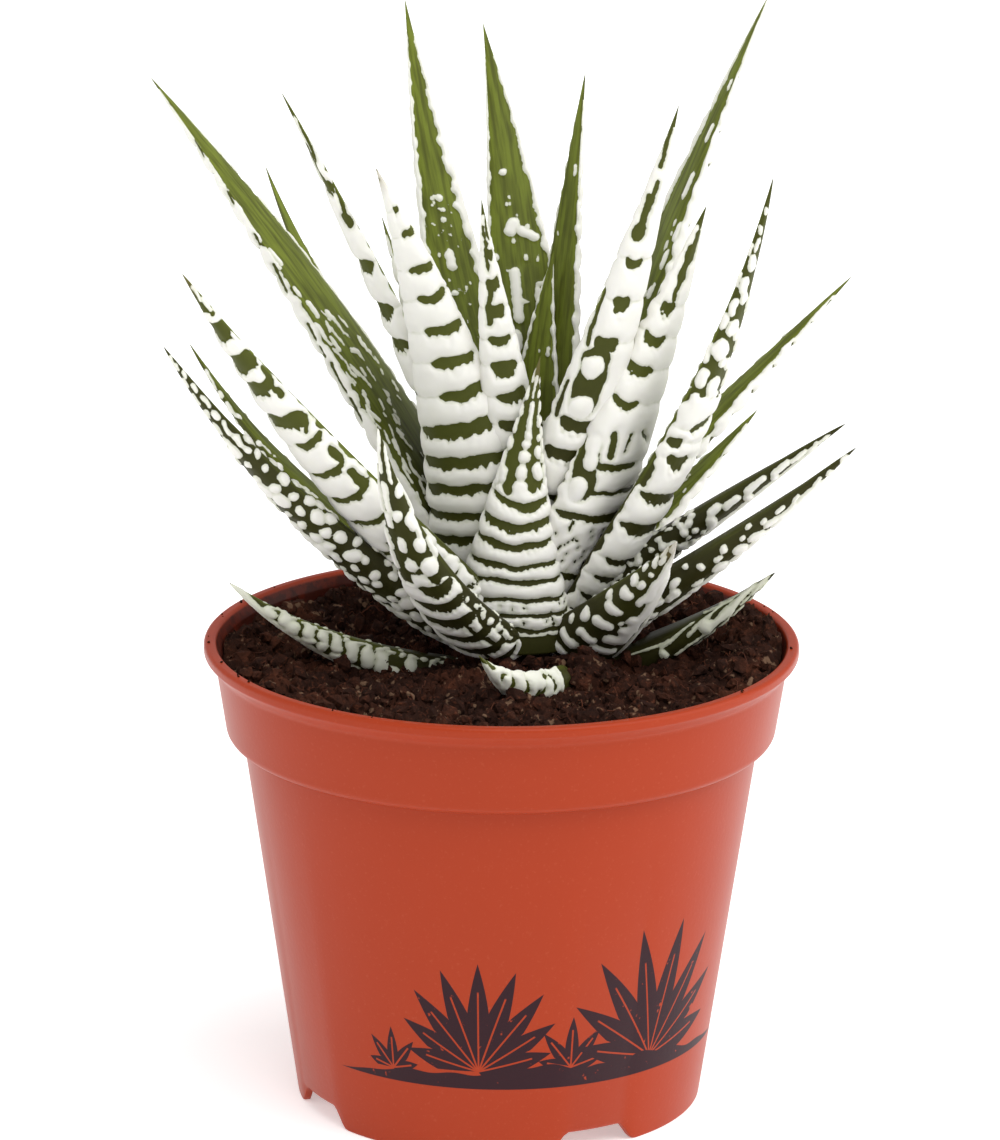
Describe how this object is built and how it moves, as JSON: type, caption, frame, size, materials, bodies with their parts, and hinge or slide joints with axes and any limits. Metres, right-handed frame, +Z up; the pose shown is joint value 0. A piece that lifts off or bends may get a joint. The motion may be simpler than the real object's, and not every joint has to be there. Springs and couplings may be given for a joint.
{
  "type": "potted haworthia",
  "caption": "Small succulent rosette of upright, pointed leaves crossed by raised white bands, growing in soil in a round, tapered plastic nursery pot with a banded rim.",
  "frame": {"origin": "on the surface that the pot stands on, under the middle of the pot", "axes": "+Z up, -Y towards the front, which is the side that shows the banded faces of the low front leaves, +X to the right seen from the front"},
  "size_m": [0.101, 0.0862, 0.1562],
  "materials": {
    "leaf": "living leaf, waxy green crossed by raised white bands",
    "stem": "living stem, dull green",
    "soil": "moist peat and coir, crumbly and matte",
    "pot_plastic": "thin terracotta-coloured plastic, satin, with a dark printed design"
  },
  "bodies": {
    "root": {"leaf_01": "leaf", "leaf_02": "leaf", "leaf_03": "leaf", "leaf_04": "leaf", "leaf_05": "leaf", "leaf_06": "leaf", "leaf_07": "leaf", "leaf_08": "leaf", "leaf_09": "leaf", "leaf_10": "leaf", "leaf_11": "leaf", "leaf_12": "leaf", "leaf_13": "leaf", "leaf_14": "leaf", "leaf_15": "leaf", "leaf_16": "leaf", "leaf_17": "leaf", "leaf_18": "leaf", "leaf_19": "leaf", "leaf_20": "leaf", "leaf_21": "leaf", "leaf_22": "leaf", "leaf_23": "leaf", "leaf_24": "leaf", "leaf_25": "leaf", "leaf_26": "leaf", "leaf_27": "leaf", "leaf_28": "leaf", "leaf_29": "leaf", "stem": "stem", "soil": "soil", "pot": "pot_plastic"}
  },
  "joints": []
}
